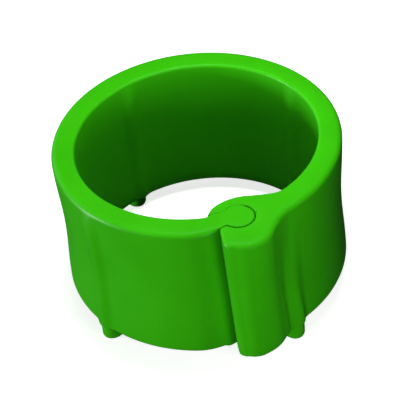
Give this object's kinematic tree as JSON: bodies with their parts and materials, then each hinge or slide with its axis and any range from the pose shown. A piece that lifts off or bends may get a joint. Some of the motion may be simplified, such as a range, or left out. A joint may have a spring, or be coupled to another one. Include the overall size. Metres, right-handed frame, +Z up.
{
  "type": "snap-closing poultry leg band",
  "caption": "Round plastic leg band that springs open opposite a snap closure, a full-height bead held between two jaws, with upright ribs that end in small feet.",
  "frame": {"origin": "on the axis of the bird's leg, at the plane that the ends of the feet stand on", "axes": "+Z up along the leg axis; -Y is the side of the closure; +X is the side of the socket end seen from the closure"},
  "size_m": [0.0194, 0.0211, 0.0115],
  "materials": {
    "band_plastic": "semi-gloss through-coloured moulded plastic, opaque green"
  },
  "bodies": {
    "band_back": {"band_back": "band_plastic"},
    "left_arm_1": {"left_arm_1": "band_plastic", "rib_back": "band_plastic", "foot_back": "band_plastic"},
    "left_arm_2": {"left_arm_2": "band_plastic"},
    "left_arm_3": {"left_arm_3": "band_plastic"},
    "left_arm_4": {"left_arm_4": "band_plastic"},
    "left_arm_5": {"left_arm_5": "band_plastic", "rib_left": "band_plastic", "foot_left": "band_plastic"},
    "left_arm_end": {"left_arm_end": "band_plastic", "bead_neck": "band_plastic", "snap_bead": "band_plastic"},
    "right_arm_1": {"right_arm_1": "band_plastic"},
    "right_arm_2": {"right_arm_2": "band_plastic"},
    "right_arm_3": {"right_arm_3": "band_plastic", "rib_right": "band_plastic", "foot_right": "band_plastic"},
    "right_arm_4": {"right_arm_4": "band_plastic"},
    "right_arm_5": {"right_arm_5": "band_plastic"},
    "socket": {"right_arm_end": "band_plastic", "socket_root": "band_plastic", "rib_closure": "band_plastic", "foot_closure": "band_plastic"},
    "outer_jaw": {"outer_jaw": "band_plastic", "outer_snap_lip": "band_plastic"},
    "inner_jaw": {"inner_jaw": "band_plastic", "inner_snap_lip": "band_plastic"}
  },
  "joints": [
    {"name": "band_opening", "type": "hinge", "parent": "band_back", "child": "left_arm_1", "pos_m": [-0.00143, 0.00955, 0.00625], "axis": [0, 0, -1], "range_deg": [0, 8], "stiffness_Nm_per_rad": 0.05, "deforming": ["outer_snap_lip", "inner_snap_lip"]},
    {"name": "left_flex_2", "type": "hinge", "parent": "left_arm_1", "child": "left_arm_2", "pos_m": [-0.00523, 0.00812, 0.00625], "axis": [0, 0, -1], "range_deg": [0, 7.42]},
    {"name": "left_flex_3", "type": "hinge", "parent": "left_arm_2", "child": "left_arm_3", "pos_m": [-0.00811, 0.00525, 0.00625], "axis": [0, 0, -1], "range_deg": [0, 6.22]},
    {"name": "left_flex_4", "type": "hinge", "parent": "left_arm_3", "child": "left_arm_4", "pos_m": [-0.00955, 0.00144, 0.00625], "axis": [0, 0, -1], "range_deg": [0, 4.64]},
    {"name": "left_flex_5", "type": "hinge", "parent": "left_arm_4", "child": "left_arm_5", "pos_m": [-0.0093, -0.00261, 0.00625], "axis": [0, 0, -1], "range_deg": [0, 2.95]},
    {"name": "left_flex_6", "type": "hinge", "parent": "left_arm_5", "child": "left_arm_end", "pos_m": [-0.0074, -0.00621, 0.00625], "axis": [0, 0, -1], "range_deg": [0, 1.45]},
    {"name": "right_flex_1", "type": "hinge", "parent": "band_back", "child": "right_arm_1", "pos_m": [0.00143, 0.00955, 0.00625], "axis": [0, 0, 1], "range_deg": [0, 8.01]},
    {"name": "right_flex_2", "type": "hinge", "parent": "right_arm_1", "child": "right_arm_2", "pos_m": [0.00523, 0.00812, 0.00625], "axis": [0, 0, 1], "range_deg": [0, 7.42]},
    {"name": "right_flex_3", "type": "hinge", "parent": "right_arm_2", "child": "right_arm_3", "pos_m": [0.00811, 0.00525, 0.00625], "axis": [0, 0, 1], "range_deg": [0, 6.22]},
    {"name": "right_flex_4", "type": "hinge", "parent": "right_arm_3", "child": "right_arm_4", "pos_m": [0.00955, 0.00144, 0.00625], "axis": [0, 0, 1], "range_deg": [0, 4.64]},
    {"name": "right_flex_5", "type": "hinge", "parent": "right_arm_4", "child": "right_arm_5", "pos_m": [0.0093, -0.00261, 0.00625], "axis": [0, 0, 1], "range_deg": [0, 2.95]},
    {"name": "right_flex_6", "type": "hinge", "parent": "right_arm_5", "child": "socket", "pos_m": [0.0074, -0.00621, 0.00625], "axis": [0, 0, 1], "range_deg": [0, 1.45]},
    {"name": "outer_jaw_flex", "type": "hinge", "parent": "socket", "child": "outer_jaw", "pos_m": [0.00193, -0.01015, 0.00625], "axis": [0, 0, 1], "range_deg": [0, 8], "stiffness_Nm_per_rad": 0.02},
    {"name": "inner_jaw_flex", "type": "hinge", "parent": "socket", "child": "inner_jaw", "pos_m": [0.0016, -0.00698, 0.00625], "axis": [0, 0, -1], "range_deg": [0, 8], "stiffness_Nm_per_rad": 0.02}
  ],
  "couplings": [
    {"joint": "left_flex_2", "follows": "band_opening", "ratio": 0.9254},
    {"joint": "left_flex_3", "follows": "band_opening", "ratio": 0.7758},
    {"joint": "left_flex_4", "follows": "band_opening", "ratio": 0.5779},
    {"joint": "left_flex_5", "follows": "band_opening", "ratio": 0.3667},
    {"joint": "left_flex_6", "follows": "band_opening", "ratio": 0.1796},
    {"joint": "right_flex_1", "follows": "band_opening", "ratio": 1},
    {"joint": "right_flex_2", "follows": "band_opening", "ratio": 0.9254},
    {"joint": "right_flex_3", "follows": "band_opening", "ratio": 0.7758},
    {"joint": "right_flex_4", "follows": "band_opening", "ratio": 0.5779},
    {"joint": "right_flex_5", "follows": "band_opening", "ratio": 0.3667},
    {"joint": "right_flex_6", "follows": "band_opening", "ratio": 0.1796}
  ]
}
